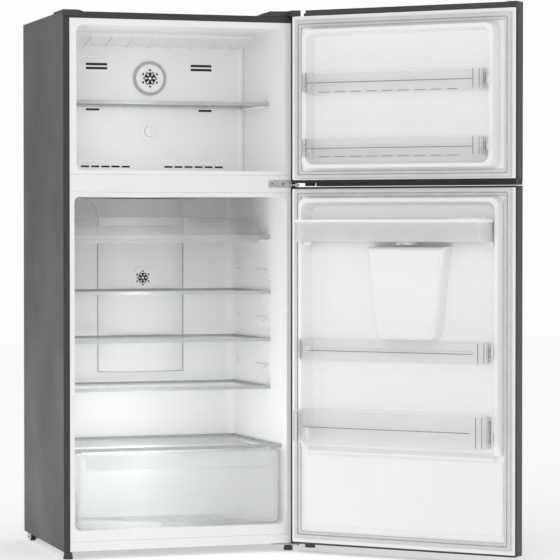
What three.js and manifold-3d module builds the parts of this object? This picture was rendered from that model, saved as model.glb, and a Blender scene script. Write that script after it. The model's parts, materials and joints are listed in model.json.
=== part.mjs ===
// Top freezer refrigerator, both doors standing open.
// Millimetres, +Z up. X runs across the front, Y runs from the front to the back.
// Everything is drawn with the cabinet's front plane at y = 0 and the floor at z = 0. Door pieces are
// drawn with their door shut and then swung open about the hinge line. The last step moves the whole
// refrigerator so that the origin is under the middle of its overall box.
import * as THREE from "three";
import { mergeVertices } from "three/addons/utils/BufferGeometryUtils.js";
import Module from "manifold-3d";

// ---------------------------------------------------------------- driving sizes

const GAP = 0.3; // air left between pieces that touch
const CORNER_STEPS = 3; // facets in each rounded corner

const CABINET = { half: 380, depth: 582, bottom: 25, top: 1698, sheet: 1, flange: 20 };
const FACE_HALF = CABINET.half - CABINET.flange - 0.5; // white face inside the painted flange
const FREEZER = { half: 338, backHalf: 322, bottom: 1208, top: 1658, back: 512, corner: 22 };
const FRIDGE = { half: 345, backHalf: 322, bottom: 87, top: 1127, back: 512, corner: 20 };
const LINER_WALL = 2;
const MULLION = { bottom: 1140, top: 1195 };
const KICK_TOP = 55;
const HUMP = { front: 350, top: 300 }; // liner step over the compressor space
const MACHINE_ROOM = { front: 396, top: 248 }; // compressor space at the lower back

const SHELF_TOPS = [519, 672.5, 826];
const LEDGE_PITCH = 76.75;
const LEDGE_COUNT = 6;
const SHELF = { front: 146, back: 482, glass: 4, depth: 10 };
const FREEZER_SHELF = { front: 146, back: 388, top: 1432 };
const CHILL_TOP = 1008;
const COVER_TOP = 338;

const HINGE = { x: 370.6, y: -22.7, openDegrees: 134.8, pin: 4, hole: 4.3 };
const DOOR = { half: 379, inner: -10.2, outer: -76, sheet: 1, liner: 2, corner: 8 };
const FREEZER_DOOR = { bottom: 1171, top: 1696.3, capTop: 1715, faceBottom: 1180 };
const FRIDGE_DOOR = { bottom: 27, top: 1158, faceBottom: 33.5, faceTop: 1152 };

// ---------------------------------------------------------------- geometry helpers

const wasm = await Module();
wasm.setup();

// A three.js geometry as a solid that can be joined and cut.
function solid(geometry) {
  const bare = geometry.clone();
  bare.deleteAttribute("normal");
  bare.deleteAttribute("uv");
  const merged = mergeVertices(bare, 1e-4);
  const mesh = new wasm.Mesh({
    numProp: 3,
    vertProperties: new Float32Array(merged.attributes.position.array),
    triVerts: new Uint32Array(merged.index.array),
  });
  return new wasm.Manifold(mesh);
}

// A solid back as a flat-shaded three.js geometry.
function surface(body) {
  const mesh = body.getMesh();
  const geometry = new THREE.BufferGeometry();
  geometry.setAttribute("position", new THREE.BufferAttribute(new Float32Array(mesh.vertProperties), 3));
  geometry.setIndex(new THREE.BufferAttribute(new Uint32Array(mesh.triVerts), 1));
  const flat = geometry.toNonIndexed();
  flat.computeVertexNormals();
  return flat;
}

const join = (...bodies) => bodies.reduce((a, b) => a.add(b));
const cut = (body, ...tools) => tools.reduce((a, b) => a.subtract(b), body);

function box(x0, x1, y0, y1, z0, z1) {
  const geometry = new THREE.BoxGeometry(x1 - x0, y1 - y0, z1 - z0);
  geometry.translate((x0 + x1) / 2, (y0 + y1) / 2, (z0 + z1) / 2);
  return solid(geometry);
}

// An outline pushed along one axis. Its two coordinates are (x, z) for "y", (x, y) for "z", (y, z) for "x".
function prism(axis, outline, from, to) {
  const depth = to - from;
  const geometry = new THREE.ExtrudeGeometry(outline, { depth, bevelEnabled: false, curveSegments: CORNER_STEPS });
  const turn = new THREE.Matrix4();
  if (axis === "x") turn.set(0, 0, 1, from, 1, 0, 0, 0, 0, 1, 0, 0, 0, 0, 0, 1);
  if (axis === "y") turn.set(1, 0, 0, 0, 0, 0, -1, to, 0, 1, 0, 0, 0, 0, 0, 1);
  if (axis === "z") turn.makeTranslation(0, 0, from);
  return solid(geometry.applyMatrix4(turn));
}

function polygon(points) {
  return new THREE.Shape(points.map(([u, v]) => new THREE.Vector2(u, v)));
}

function rounded(u0, u1, v0, v1, r) {
  const shape = new THREE.Shape();
  shape.moveTo(u0 + r, v0);
  shape.lineTo(u1 - r, v0);
  shape.absarc(u1 - r, v0 + r, r, -Math.PI / 2, 0);
  shape.lineTo(u1, v1 - r);
  shape.absarc(u1 - r, v1 - r, r, 0, Math.PI / 2);
  shape.lineTo(u0 + r, v1);
  shape.absarc(u0 + r, v1 - r, r, Math.PI / 2, Math.PI);
  shape.lineTo(u0, v0 + r);
  shape.absarc(u0 + r, v0 + r, r, Math.PI, Math.PI * 1.5);
  return shape;
}

// A round bar along an axis, centred at (u, v) in that axis's outline coordinates.
function bar(axis, u, v, radius, from, to, sides = 20) {
  const shape = [];
  for (let i = 0; i < sides; i += 1) {
    const turn = ((i + 0.5) / sides) * Math.PI * 2;
    shape.push([u + radius * Math.cos(turn), v + radius * Math.sin(turn)]);
  }
  return prism(axis, polygon(shape), from, to);
}

// A rounded block along y that changes size from one rectangle at y0 to another at y1.
function taperedBlock(near, far, y0, y1, r) {
  const [x0, x1, z0, z1] = near;
  const geometry = new THREE.ExtrudeGeometry(rounded(x0, x1, z0, z1, r), {
    depth: y1 - y0,
    bevelEnabled: false,
    curveSegments: CORNER_STEPS,
  });
  const position = geometry.attributes.position;
  for (let i = 0; i < position.count; i += 1) {
    const x = position.getX(i);
    const z = position.getY(i);
    const atFar = position.getZ(i) < (y1 - y0) / 2;
    const u = (x - x0) / (x1 - x0);
    const v = (z - z0) / (z1 - z0);
    const newX = atFar ? far[0] + u * (far[1] - far[0]) : x;
    const newZ = atFar ? far[2] + v * (far[3] - far[2]) : z;
    position.setXYZ(i, newX, y1 - position.getZ(i), newZ);
  }
  return solid(geometry);
}

// A block along y between two outlines with the same number of points, one at y0 and the other at y1.
function drafted(near, far, y0, y1) {
  const geometry = new THREE.ExtrudeGeometry(polygon(near), { depth: y1 - y0, bevelEnabled: false });
  const position = geometry.attributes.position;
  for (let i = 0; i < position.count; i += 1) {
    const x = position.getX(i);
    const z = position.getY(i);
    const atFar = position.getZ(i) < (y1 - y0) / 2;
    const match = near.findIndex(([u, v]) => Math.hypot(u - x, v - z) < 1e-3);
    const [newX, newZ] = atFar ? far[match] : [x, z];
    position.setXYZ(i, newX, y1 - position.getZ(i), newZ);
  }
  return solid(geometry);
}

const parts = [];

// Adds a finished piece: its name, its solid and how its surface looks.
function add(name, body, look, doorSide = false) {
  const geometry = surface(body);
  if (doorSide) geometry.applyMatrix4(doorOpening());
  const mesh = new THREE.Mesh(geometry, new THREE.MeshStandardMaterial(look));
  mesh.name = name;
  parts.push(mesh);
}

// The swing of a door from shut to standing open about the hinge line.
function doorOpening() {
  const angle = THREE.MathUtils.degToRad(HINGE.openDegrees);
  return new THREE.Matrix4()
    .makeTranslation(HINGE.x, HINGE.y, 0)
    .multiply(new THREE.Matrix4().makeRotationZ(angle))
    .multiply(new THREE.Matrix4().makeTranslation(-HINGE.x, -HINGE.y, 0));
}

const LOOK = {
  paint: { color: 0x6b6965, roughness: 0.45, metalness: 0.5 },
  zinc: { color: 0xb4b7ba, roughness: 0.4, metalness: 0.9 },
  white: { color: 0xeeeeec, roughness: 0.35, metalness: 0 },
  trim: { color: 0xdfe0e0, roughness: 0.4, metalness: 0 },
  glass: { color: 0xe4ebe9, roughness: 0.05, metalness: 0, transparent: true, opacity: 0.35 },
  clear: { color: 0xeef1f1, roughness: 0.12, metalness: 0, transparent: true, opacity: 0.4 },
  gasket: { color: 0xd6d6d4, roughness: 0.7, metalness: 0 },
  dark: { color: 0x4a4a4a, roughness: 0.5, metalness: 0 },
  black: { color: 0x161616, roughness: 0.6, metalness: 0 },
  foam: { color: 0xe6d9a8, roughness: 0.9, metalness: 0 },
};

// ---------------------------------------------------------------- cabinet shell and liners

// Half width of a liner's side wall at a depth.
function wallAt(room, y) {
  return room.half + ((room.backHalf - room.half) * y) / (room.back - 40);
}

// The space inside a liner, grown outwards by a wall thickness.
function liningSpace(room, grow) {
  const corner = 34;
  const plan = polygon([
    [-room.half - grow, -1],
    [room.half + grow, -1],
    [room.backHalf + grow, room.back - corner],
    [room.backHalf - corner * 0.3 + grow, room.back - corner * 0.3 + grow],
    [room.backHalf - corner + grow * 0.4, room.back + grow],
    [-room.backHalf + corner - grow * 0.4, room.back + grow],
    [-room.backHalf + corner * 0.3 - grow, room.back - corner * 0.3 + grow],
    [-room.backHalf - grow, room.back - corner],
  ]);
  const tall = prism("z", plan, room.bottom - grow, room.top + grow);
  const front = rounded(-room.half - grow, room.half + grow, room.bottom - grow, room.top + grow, room.corner + grow);
  return tall.intersect(prism("y", front, -2, room.back + 10));
}

// The step that the fridge liner makes over the compressor, pulled in by a wall thickness.
function hump(shrink) {
  const outline = polygon([
    [HUMP.front + shrink, FRIDGE.bottom - 10],
    [HUMP.front + 10 + shrink, HUMP.top - shrink],
    [FRIDGE.back + 10, HUMP.top - shrink],
    [FRIDGE.back + 10, FRIDGE.bottom - 10],
  ]);
  return prism("x", outline, -FRIDGE.half - 10, FRIDGE.half + 10);
}

const freezerSpace = liningSpace(FREEZER, 0);
const fridgeSpace = cut(liningSpace(FRIDGE, 0), hump(0));

function flangePlate(z0, z1) {
  return box(-FACE_HALF, FACE_HALF, 0, LINER_WALL, z0, z1);
}

// Shelf supports moulded into one side wall of the fridge: a long half-round ledge near the front and
// a short nub near the back on every level.
function wallSupports(side) {
  const reach = 8;
  const bodies = [];
  for (let level = 0; level < LEDGE_COUNT; level += 1) {
    const top = SHELF_TOPS[0] - SHELF.depth + level * LEDGE_PITCH - GAP;
    const shape = new THREE.Shape();
    shape.moveTo(168, top);
    shape.quadraticCurveTo(190, top - 14, 226, top - 14);
    shape.quadraticCurveTo(262, top - 14, 284, top);
    const front = [wallAt(FRIDGE, 226) - reach, wallAt(FRIDGE, 168) + 1];
    bodies.push(prism("x", shape, ...(side > 0 ? front : [-front[1], -front[0]])));
    const nub = [wallAt(FRIDGE, 455) - reach, wallAt(FRIDGE, 440) + 1];
    const nubShape = polygon([[440, top], [442, top - 8], [470, top - 8], [470, top]]);
    bodies.push(prism("x", nubShape, ...(side > 0 ? nub : [-nub[1], -nub[0]])));
  }
  return join(...bodies);
}

// A straight rail on one side wall whose top carries a shelf.
function wallRail(room, side, y0, y1, top) {
  const reach = [308, wallAt(room, y0) + 1];
  const [x0, x1] = side > 0 ? reach : [-reach[1], -reach[0]];
  return box(x0, x1, y0, y1, top - 6 - GAP, top - GAP);
}

const shellOuter = box(-CABINET.half, CABINET.half, 0, CABINET.depth, CABINET.bottom, CABINET.top);
const shellInside = box(
  -CABINET.half + CABINET.sheet,
  CABINET.half - CABINET.sheet,
  CABINET.sheet,
  CABINET.depth + 1,
  CABINET.bottom - 1,
  CABINET.top - CABINET.sheet,
);
const shellMouth = box(
  -CABINET.half + CABINET.flange,
  CABINET.half - CABINET.flange,
  -1,
  CABINET.sheet + 1,
  CABINET.bottom - 1,
  CABINET.top - CABINET.flange,
);
add("cabinet_shell", cut(shellOuter, shellInside, shellMouth), LOOK.paint);

const backSheet = box(-378.6, 378.6, 578, 579, MACHINE_ROOM.top + 4, CABINET.top - 1.4);
const backRibs = [-190, 0, 190].map((x) => box(x - 25, x + 25, 578.5, 581, 330, 1610));
add("back_panel", join(backSheet, ...backRibs), LOOK.zinc);

const BEFORE_FRONT = box(-500, 500, -5, 0, 0, 2000);
const freezerRails = [1, -1].map((side) =>
  wallRail(FREEZER, side, 160, 380, FREEZER_SHELF.top - SHELF.depth),
);
const freezerTub = cut(
  join(liningSpace(FREEZER, LINER_WALL), flangePlate(MULLION.top + GAP, CABINET.top - CABINET.flange - 0.5)),
  BEFORE_FRONT,
  freezerSpace,
);
add(
  "freezer_liner",
  join(freezerTub, join(...freezerRails).intersect(liningSpace(FREEZER, LINER_WALL / 2))),
  LOOK.white,
);

const fridgeTub = cut(liningSpace(FRIDGE, LINER_WALL), hump(LINER_WALL));
const wallFeatures = [1, -1].flatMap((side) => [
  wallSupports(side),
  wallRail(FRIDGE, side, 165, 460, CHILL_TOP - 16),
  wallRail(FRIDGE, side, 60, 490, COVER_TOP - SHELF.depth),
]);
const fridgeLiner = join(
  cut(
    join(fridgeTub, flangePlate(KICK_TOP + GAP, MULLION.bottom - GAP)),
    BEFORE_FRONT,
    fridgeSpace,
  ),
  join(...wallFeatures).intersect(liningSpace(FRIDGE, LINER_WALL / 2)),
);
add("fridge_liner", fridgeLiner, LOOK.white);

// The foam fills everything between the shell, the liners, the mullion and the compressor space.
const foamBlock = box(
  -CABINET.half + CABINET.sheet + GAP,
  CABINET.half - CABINET.sheet - GAP,
  3.3,
  577.6,
  CABINET.bottom + 4,
  CABINET.top - CABINET.sheet - GAP,
);
const machineRoomSpace = box(-400, 400, MACHINE_ROOM.front - 2, 600, 0, MACHINE_ROOM.top + 3.5);
const fridgeTubOuter = cut(liningSpace(FRIDGE, LINER_WALL + GAP), hump(LINER_WALL + GAP));
add(
  "cabinet_foam",
  cut(foamBlock, machineRoomSpace, liningSpace(FREEZER, LINER_WALL + GAP), fridgeTubOuter),
  LOOK.foam,
);

const mullionPlate = box(-FACE_HALF, FACE_HALF, 0, 3, MULLION.bottom, MULLION.top);
add("mullion_cover", mullionPlate, LOOK.white);

const kickPlate = box(-FACE_HALF, FACE_HALF, 0, 3, CABINET.bottom + 0.5, KICK_TOP);
add("kick_plate", kickPlate, LOOK.white);

// Folded sheet under the cabinet: floor, wall and roof of the compressor space, and roller rails.
const panWidth = CABINET.half - CABINET.sheet - GAP;
const basePan = join(
  box(-panWidth, panWidth, 16, MACHINE_ROOM.front, CABINET.bottom + 1, CABINET.bottom + 3),
  box(-panWidth, panWidth, MACHINE_ROOM.front - 2 + GAP, MACHINE_ROOM.front, CABINET.bottom + 1, MACHINE_ROOM.top + 3),
  box(-panWidth, panWidth, MACHINE_ROOM.front - 1.5, 577, MACHINE_ROOM.top + 1, MACHINE_ROOM.top + 3),
  box(-panWidth, panWidth, 430, 560, CABINET.bottom + 4, CABINET.bottom + 6),
  ...[-1, 1].flatMap((side) => {
    const inner = side > 0 ? 340 : -panWidth;
    const outer = side > 0 ? panWidth : -340;
    const plates = side > 0 ? [352, 376] : [-354, -378];
    return [
      box(inner, outer, MACHINE_ROOM.front - 1, 577, CABINET.bottom + 1, CABINET.bottom + 5),
      ...plates.map((x) => box(x, x + 2, 495, 541, 7, CABINET.bottom + 2)),
    ];
  }),
);
const axleHoles = bar("x", 518, 11, 3.3, -400, 400, 16);
add("base_pan", cut(basePan, axleHoles), LOOK.zinc);

// ---------------------------------------------------------------- hinges and corner covers

function screwHead(x, z, y) {
  return bar("y", x, z, 4.2, y - 1.6, y + 0.2, 12);
}

// A hinge arm in plan: a strip that ends in a round eye about the hinge line.
function hingeArm(z0, z1, neckHalf, backY) {
  const eye = new THREE.Shape();
  eye.moveTo(HINGE.x - neckHalf, backY);
  eye.lineTo(HINGE.x - 9, HINGE.y);
  eye.absarc(HINGE.x, HINGE.y, 9, Math.PI, Math.PI * 2);
  eye.lineTo(HINGE.x + 9, backY);
  return prism("z", eye, z0, z1);
}

const topPlate = prism("z", rounded(290, 376, 10, 74, 6), CABINET.top + GAP, CABINET.top + 4.3);
const topPin = bar("z", HINGE.x, HINGE.y, HINGE.pin, 1683, CABINET.top + 4.3, 16);
const topBolts = [[306, 26], [306, 58], [358, 58]].map(([x, y]) =>
  bar("z", x, y, 5, CABINET.top + 4, CABINET.top + 7.3, 6),
);
add(
  "top_hinge",
  join(topPlate, hingeArm(CABINET.top + GAP, CABINET.top + 4.3, 20, 12), topPin, ...topBolts),
  LOOK.zinc,
);

// A moulded cap over the top hinge: long wedge along the cabinet's top, hollow underneath.
const coverSide = polygon([[252, CABINET.top + GAP], [292, 1714], [382, 1716], [382, CABINET.top + GAP]]);
const coverInside = polygon([[262, CABINET.top - 1], [295, 1712], [380, 1713.6], [380, CABINET.top - 1]]);
const coverPlan = new THREE.Shape();
coverPlan.moveTo(252, 0);
coverPlan.lineTo(346, 0);
coverPlan.lineTo(352, -34);
coverPlan.lineTo(378, -37);
coverPlan.lineTo(382, -30);
coverPlan.lineTo(382, 88);
coverPlan.lineTo(264, 88);
coverPlan.lineTo(252, 74);
const coverCore = new THREE.Shape();
coverCore.moveTo(255, 3);
coverCore.lineTo(349, 3);
coverCore.lineTo(355, -32);
coverCore.lineTo(379.6, -34);
coverCore.lineTo(379.6, 85);
coverCore.lineTo(266, 85);
coverCore.lineTo(255, 72);
add(
  "top_hinge_cover",
  cut(
    prism("y", coverSide, -40, 90).intersect(prism("z", coverPlan, 1690, 1720)),
    prism("y", coverInside, -40, 90).intersect(prism("z", coverCore, 1680, 1720)),
  ),
  LOOK.dark,
);

// The matching cover over the unused hinge holes at the other corner.
const capSide = polygon([[-381.5, CABINET.top + GAP], [-381.5, 1703], [-332, 1703], [-316, CABINET.top + GAP]]);
const capLip = box(-381.5, -330, -2.4, 0 - GAP, CABINET.top - 13, CABINET.top + 3);
const cornerCap = join(prism("y", capSide, -2.4, 130), capLip);
add("corner_cap", cornerCap, LOOK.dark);

const midPlate = prism("y", rounded(284, 362, 1157, 1180, 3), -2.7, -GAP);
const midPin = bar("z", HINGE.x, HINGE.y, HINGE.pin, 1146, 1184, 16);
const midArm = hingeArm(1162, 1167, 18, -2);
const midScrews = [294, 330].map((x) => screwHead(x, 1168.5, -2.7));
add("mid_hinge", join(midPlate, midArm, midPin, ...midScrews), LOOK.zinc);

const lowerPlate = prism("z", rounded(300, 379, -2, 70, 6), 20.3, CABINET.bottom - GAP);
const lowerPin = bar("z", HINGE.x, HINGE.y, HINGE.pin, 20.3, 42, 16);
const FOOT = { x: 360, y: 30, stem: 5 };
const footHole = bar("z", FOOT.x, FOOT.y, FOOT.stem + 0.6, 15, 30, 16);
add(
  "bottom_hinge",
  join(cut(join(lowerPlate, hingeArm(20.3, CABINET.bottom - GAP, 18, 0)), footHole), lowerPin),
  LOOK.zinc,
);

// ---------------------------------------------------------------- feet and rollers

function foot(x) {
  return join(
    bar("z", x, FOOT.y, 15, 0, 9, 16),
    bar("z", x, FOOT.y, 13.5, 8.5, 19.8, 8),
    bar("z", x, FOOT.y, FOOT.stem, 19, CABINET.bottom + 0.7, 16),
  );
}
add("foot_left", foot(-FOOT.x), LOOK.dark);
add("foot_right", foot(FOOT.x), LOOK.dark);

function roller(side) {
  const middle = side * 365;
  return join(
    bar("x", 518, 11, 11, middle - 8.5, middle + 8.5, 24),
    bar("x", 518, 11, 3.1, middle - 13.5, middle + 13.5, 16),
  );
}
add("rear_roller_left", roller(-1), LOOK.black);
add("rear_roller_right", roller(1), LOOK.black);

// ---------------------------------------------------------------- compressor space

// The sealed pump: a turned can with a domed lid, on a bridge with its legs on the floor pan.
const canProfile = [[0, 40], [72, 40], [80, 56], [80, 130], [86, 132], [86, 140], [80, 142], [72, 182], [44, 198], [0, 202]];
const can = new THREE.LatheGeometry(canProfile.map(([r, z]) => new THREE.Vector2(r, z)), 24);
can.rotateX(Math.PI / 2);
can.translate(110, 486, 0);
const pumpFeet = box(0, 220, 440, 532, 34, 41);
const pumpPosts = [[14, 454], [206, 454], [14, 518], [206, 518]].map(([x, y]) =>
  bar("z", x, y, 9, CABINET.bottom + 6 + GAP, 36, 12),
);
const pumpRelay = box(8, 40, 462, 508, 80, 140);
add("compressor", join(solid(can), pumpFeet, pumpRelay, ...pumpPosts), LOOK.black);

// Vented rear cover of the compressor space, with the socket that the power cord goes into.
const ventCover = cut(
  box(-372, 372, 575, 577, 34, MACHINE_ROOM.top - 2),
  ...[...Array(12).keys()].map((i) => box(-330 + i * 27, -316 + i * 27, 570, 580, 70, 200)),
);
const inletBlock = box(250, 310, 566, 581, 152, 192);
const inletPocket = box(256, 304, 571, 590, 158, 186);
const inletPins = [268, 280, 292].map((x) => box(x - 2, x + 2, 568, 579, 168, 176));
add("compressor_cover", join(cut(join(ventCover, inletBlock), inletPocket), ...inletPins), LOOK.black);

// ---------------------------------------------------------------- freezer air system

const AIR = { face: 395, half: 302, edge: 330, badgeZ: 1518, knobZ: 1344, slope: 1622 };
const BEAD = { start: 306, end: 320, proud: 6 };

// Plan of the cover's front: flat, with a round bead beside each wall.
function coverPlanShape(offset) {
  const f = AIR.face + offset;
  const shape = new THREE.Shape();
  shape.moveTo(-AIR.edge, f + 5);
  shape.quadraticCurveTo(-BEAD.end, f - BEAD.proud, -(BEAD.start + BEAD.end) / 2, f - BEAD.proud);
  shape.quadraticCurveTo(-BEAD.start, f - BEAD.proud, -AIR.half, f);
  shape.lineTo(AIR.half, f);
  shape.quadraticCurveTo(BEAD.start, f - BEAD.proud, (BEAD.start + BEAD.end) / 2, f - BEAD.proud);
  shape.quadraticCurveTo(BEAD.end, f - BEAD.proud, AIR.edge, f + 5);
  shape.lineTo(AIR.edge, 470);
  shape.lineTo(-AIR.edge, 470);
  return shape;
}
const coverShell = cut(
  prism("z", coverPlanShape(0), FREEZER.bottom + 1, AIR.slope + 8),
  prism("z", coverPlanShape(2.5), FREEZER.bottom, AIR.slope + 9),
);
// The cover's top slopes forward to the ceiling and ends in an upright lip.
const slopeProfile = polygon([[395, 1620], [297, 1646], [297, 1657.7], [299.5, 1657.7], [299.5, 1650], [397.5, 1630]]);
const slopeRibs = [...Array(9).keys()].map((i) => {
  const x = -288 + i * 70;
  return prism("x", polygon([[394, 1616], [297, 1642.5], [297, 1648], [396, 1624]]), x, x + 7);
});
const ventBoxes = [
  ...[-213, 141].flatMap((x) => [box(x, x + 72, 380, 400, 1558, 1566), box(x, x + 72, 380, 400, 1545, 1553)]),
  ...[-213, 168].map((x) => box(x, x + 45, 380, 400, 1411, 1418)),
  ...[...Array(5).keys()].map((i) => box(-230 + i * 34, -202 + i * 34, 380, 400, 1226, 1232)),
  ...[...Array(6).keys()].map((i) => box(51 + i * 34.5, 79 + i * 34.5, 380, 400, 1226, 1232)),
];
// Six arms with side barbs, raised on a badge.
function snowflake(z, y0, y1, size) {
  const arms = [];
  for (let i = 0; i < 6; i += 1) {
    const turn = (i * Math.PI) / 3;
    const at = (r, s) => [r * Math.sin(turn) + s * Math.cos(turn), z + r * Math.cos(turn) - s * Math.sin(turn)];
    const w = size * 0.07;
    arms.push(prism("y", polygon([at(size * 0.2, w), at(size, w), at(size, -w), at(size * 0.2, -w)]), y0, y1));
    const barb = [at(size * 0.5, 0), at(size * 0.8, size * 0.3), at(size * 0.92, size * 0.22), at(size * 0.66, 0),
      at(size * 0.92, -size * 0.22), at(size * 0.8, -size * 0.3)];
    arms.push(prism("y", polygon(barb), y0, y1));
  }
  return join(...arms);
}
const fanBadge = join(
  bar("y", 0, AIR.badgeZ, 57, AIR.face - 4, AIR.face + 1, 32),
  bar("y", 0, AIR.badgeZ, 46, AIR.face - 9, AIR.face, 32),
  snowflake(AIR.badgeZ, AIR.face - 9.8, AIR.face - 8, 22),
);
const knobWell = cut(
  bar("y", 0, AIR.knobZ, 32, AIR.face - 4, AIR.face + 2, 28),
  bar("y", 0, AIR.knobZ, 18, AIR.face - 10, AIR.face - 1, 24),
  bar("y", 0, AIR.knobZ, 4.2, AIR.face - 10, AIR.face + 10, 12),
);
const coverFront = join(
  cut(coverShell, ...ventBoxes),
  prism("x", slopeProfile, -AIR.edge, AIR.edge),
  ...slopeRibs,
).intersect(liningSpace(FREEZER, -GAP));
const coverWithoutKnob = cut(
  coverFront,
  bar("y", 0, AIR.knobZ, 31, AIR.face - 10, AIR.face + 1.5, 28),
  bar("y", 0, AIR.knobZ, 4.2, AIR.face - 10, AIR.face + 10, 12),
);
add("freezer_back_cover", join(coverWithoutKnob, fanBadge, knobWell), LOOK.white);

const knob = join(
  bar("y", 0, AIR.knobZ, 17, AIR.face - 13, AIR.face - 1.5, 24),
  box(-3, 3, AIR.face - 18, AIR.face - 12, AIR.knobZ - 14, AIR.knobZ + 14),
  bar("y", 0, AIR.knobZ, 4, AIR.face - 2, AIR.face + 9, 12),
);
add("airflow_knob", knob, LOOK.white);

const motorFrame = cut(
  box(-78, 78, 424, 427, AIR.badgeZ - 78, AIR.badgeZ + 78),
  bar("y", 0, AIR.badgeZ, 66, 420, 430, 32),
);
const motorBody = join(
  box(-70, 70, 424, 427, AIR.badgeZ - 6, AIR.badgeZ + 6),
  bar("y", 0, AIR.badgeZ, 24, 424, 452, 24),
  bar("y", 0, AIR.badgeZ, 2.9, 404, 425, 16),
);
add("fan_motor", join(motorFrame, motorBody), LOOK.black);

const blades = [...Array(5).keys()].map((i) => {
  const blade = new THREE.BoxGeometry(22, 1.6, 44);
  blade.rotateZ(0.45);
  blade.translate(0, 0, 36);
  blade.rotateY((i * Math.PI * 2) / 5);
  blade.translate(0, 412, AIR.badgeZ);
  return solid(blade);
});
const rotor = cut(
  join(bar("y", 0, AIR.badgeZ, 18, 404, 420, 24), ...blades),
  bar("y", 0, AIR.badgeZ, 3, 400, 421, 16),
);
add("fan_rotor", rotor, LOOK.dark);

// The cold coil behind the cover: a finned block with a return bend at each end.
const finBlock = cut(
  box(-248, 248, 460, 505, 1240, 1400),
  ...[...Array(11).keys()].map((i) => box(-222 + i * 41, -188 + i * 41, 455, 500, 1244, 1396)),
);
const bends = [-264, 264].map((x) => box(Math.min(x, x * 0.93), Math.max(x, x * 0.93), 476, 488, 1262, 1378));
add("evaporator", join(finBlock, ...bends), LOOK.zinc);

// ---------------------------------------------------------------- fridge air duct

const DUCT = { face: 486, flat: 88, half: 145, bottom: 553, top: FRIDGE.top - 2, badgeZ: 863 };
function ductPlan(offset) {
  return polygon([
    [-DUCT.half + offset, FRIDGE.back - GAP],
    [-DUCT.flat, DUCT.face + offset],
    [DUCT.flat, DUCT.face + offset],
    [DUCT.half - offset, FRIDGE.back - GAP],
  ]);
}
const ductSolid = prism("z", ductPlan(0), DUCT.bottom, DUCT.top);
const ductRound = prism("y", rounded(-200, 200, DUCT.bottom, DUCT.top + 60, 18), 470, 520);
const ductHollow = prism("z", ductPlan(3), DUCT.bottom + 3, DUCT.top - 3);
const wings = [1, -1].map((side) => {
  const shape = new THREE.Shape();
  shape.moveTo(side * 130, DUCT.top);
  shape.lineTo(side * 188, DUCT.top);
  shape.quadraticCurveTo(side * 150, 1112, side * 144, 1058);
  shape.lineTo(side * 130, 1058);
  return prism("y", shape, 507, FRIDGE.back - GAP);
});
const ductBadge = join(
  bar("y", 0, DUCT.badgeZ, 37, DUCT.face - 4, DUCT.face + 1, 32),
  prism("y", polygon([[-22, 833], [22, 833], [32, 822], [-32, 822]]), DUCT.face - 2, DUCT.face + 1),
  snowflake(DUCT.badgeZ, DUCT.face - 4.8, DUCT.face - 3, 20),
);
const ductTab = prism("y", rounded(-16, 16, 566, 576, 4.5), DUCT.face - 2, DUCT.face + 1);
add(
  "duct_cover",
  join(cut(join(ductSolid.intersect(ductRound), ...wings), ductHollow), ductBadge, ductTab),
  LOOK.white,
);

// ---------------------------------------------------------------- shelves

// A shelf outline that follows the tapering walls, pulled in by an inset all round.
function shelfPlan(room, front, back, inset) {
  const a = wallAt(room, front) - 4 - inset;
  const b = Math.min(wallAt(room, back), room.backHalf) - 4 - inset;
  return polygon([[-a, front + inset], [a, front + inset], [b, back - inset], [-b, back - inset]]);
}

// A glass pane sunk in a moulded frame.
function addShelf(name, room, front, back, top) {
  const paneInset = 4;
  const bottom = top - SHELF.depth;
  const frame = cut(
    prism("z", shelfPlan(room, front, back, 0), bottom, top + 1),
    prism("z", shelfPlan(room, front, back, 14), bottom - 1, top + 2),
    prism("z", shelfPlan(room, front, back, paneInset), top - SHELF.glass - GAP, top + 2),
  );
  const pane = prism("z", shelfPlan(room, front, back, paneInset + GAP), top - SHELF.glass, top);
  add(`${name}_glass`, pane, LOOK.glass);
  add(`${name}_frame`, frame, LOOK.trim);
}
addShelf("freezer_shelf", FREEZER, FREEZER_SHELF.front, FREEZER_SHELF.back, FREEZER_SHELF.top);
SHELF_TOPS.forEach((top, i) => addShelf(`shelf_${i + 1}`, FRIDGE, SHELF.front, SHELF.back, top));

// The chill shelf: a plate with a deep front rail and a second, shorter rail under it.
const chillPlate = prism("z", shelfPlan(FRIDGE, SHELF.front, 470, 0), CHILL_TOP - 4, CHILL_TOP);
const chillRail = box(-334, 334, SHELF.front - 1, SHELF.front + 12, CHILL_TOP - 15, CHILL_TOP);
const chillUnderRail = box(-300, 300, SHELF.front + 4, SHELF.front + 14, CHILL_TOP - 28, CHILL_TOP - 14);
const chillRunners = [-318, 310].map((x) => box(x, x + 8, SHELF.front + 10, 465, CHILL_TOP - 16, CHILL_TOP - 2));
add("chill_shelf", join(chillPlate, chillRail, chillUnderRail, ...chillRunners), LOOK.trim);

// The chill tray: clear, with a sloping front and a back that dips in front of the air duct.
const TRAY = { half: 303, wall: 2.5, bottom: CHILL_TOP + GAP, top: 1062 };
const traySide = polygon([[160, TRAY.bottom], [224, TRAY.top], [468, TRAY.top], [468, TRAY.bottom]]);
const traySpace = polygon([
  [160 + 3.5, TRAY.bottom + TRAY.wall],
  [224 + 6, TRAY.top + TRAY.wall],
  [468 - TRAY.wall, TRAY.top + TRAY.wall],
  [468 - TRAY.wall, TRAY.bottom + TRAY.wall],
]);
const trayBackDip = prism("y", polygon([[-170, 1070], [170, 1070], [142, 1036], [-142, 1036]]), 460, 475);
add(
  "chill_tray",
  cut(
    prism("x", traySide, -TRAY.half, TRAY.half),
    prism("x", traySpace, -TRAY.half + TRAY.wall, TRAY.half - TRAY.wall),
    trayBackDip,
  ),
  LOOK.clear,
);

addShelf("crisper_cover", FRIDGE, 45, SHELF.back, COVER_TOP);

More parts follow.
